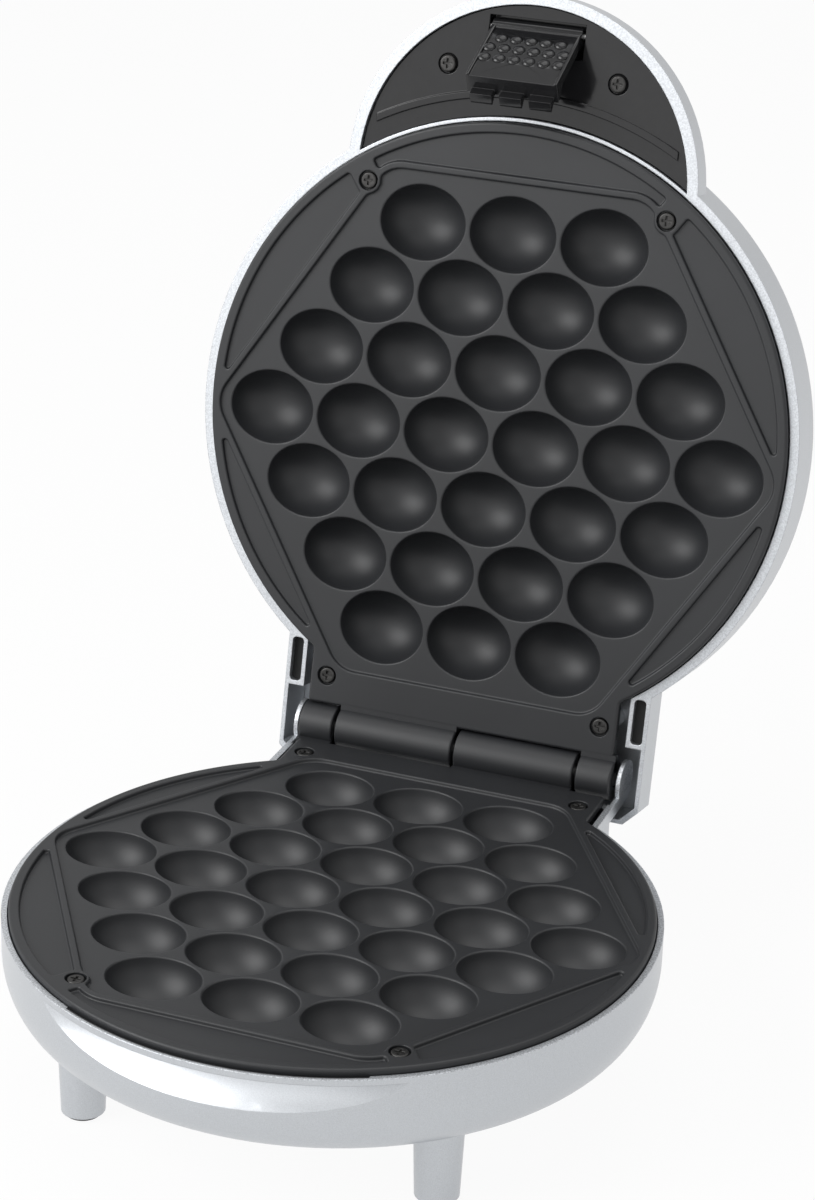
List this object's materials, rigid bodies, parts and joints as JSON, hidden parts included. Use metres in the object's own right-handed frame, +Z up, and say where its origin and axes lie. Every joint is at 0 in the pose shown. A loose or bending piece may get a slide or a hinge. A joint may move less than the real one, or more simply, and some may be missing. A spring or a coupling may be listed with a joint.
{
  "type": "bubble waffle maker",
  "caption": "Free-standing bubble waffle maker with two round cast cooking plates of oval cells, hinged silver lid with half-round grip and a swinging front latch.",
  "frame": {"origin": "centre of the whole box at the level of the feet, lid open", "axes": "+X to the right, +Y towards the hinge, +Z up"},
  "size_m": [0.218, 0.297, 0.3239],
  "materials": {
    "silver_shell": "silver paint, satin",
    "coated_casting": "dark non-stick coating, matte",
    "screw_steel": "dark zinc",
    "rod_steel": "drawn",
    "heater_sheath": "heat-tinted sheath",
    "terminal_metal": "plated",
    "pan_sheet": "bright sheet",
    "thermostat_body": "ceramic-white",
    "fuse_body": "satin",
    "block_plastic": "matte",
    "bush_plastic": "matte",
    "black_gloss": "high gloss",
    "tip_rubber": "matte",
    "red_lens": "clear red",
    "green_lens": "clear green",
    "lamp_glass": "clear",
    "holder_plastic": "matte"
  },
  "bodies": {
    "base": {"base_housing": "silver_shell", "base_plate": "coated_casting", "base_plate_screws": "screw_steel", "base_heater": "heater_sheath", "base_heater_terminals": "terminal_metal", "base_reflector": "pan_sheet", "base_reflector_screws": "screw_steel", "base_thermostat": "thermostat_body", "thermal_fuse": "fuse_body", "terminal_block": "block_plastic", "cord_gland": "bush_plastic", "front_strip": "black_gloss", "leg_tips": "tip_rubber", "hinge_rod": "rod_steel"},
    "lid": {"lid_housing": "silver_shell", "lid_plate": "coated_casting", "lid_plate_screws": "screw_steel", "lid_heater": "heater_sheath", "lid_heater_terminals": "terminal_metal", "lid_reflector": "pan_sheet", "lid_reflector_screws": "screw_steel", "lid_thermostat": "thermostat_body", "handle_liner": "black_gloss", "handle_liner_screws": "screw_steel", "power_lens": "red_lens", "ready_lens": "green_lens", "indicator_lamps": "lamp_glass", "lamp_holder": "holder_plastic", "latch_pin": "rod_steel"},
    "latch": {"latch": "black_gloss"}
  },
  "joints": [
    {"name": "lid_hinge", "type": "hinge", "parent": "base", "child": "lid", "pos_m": [0, 0.07547, 0.0639], "axis": [1, 0, 0], "range_deg": [0, 101.6]},
    {"name": "latch_pivot", "type": "hinge", "parent": "lid", "child": "latch", "pos_m": [0, 0.13024, 0.31083], "axis": [1, 0, 0], "range_deg": [-10, 19.99]}
  ]
}
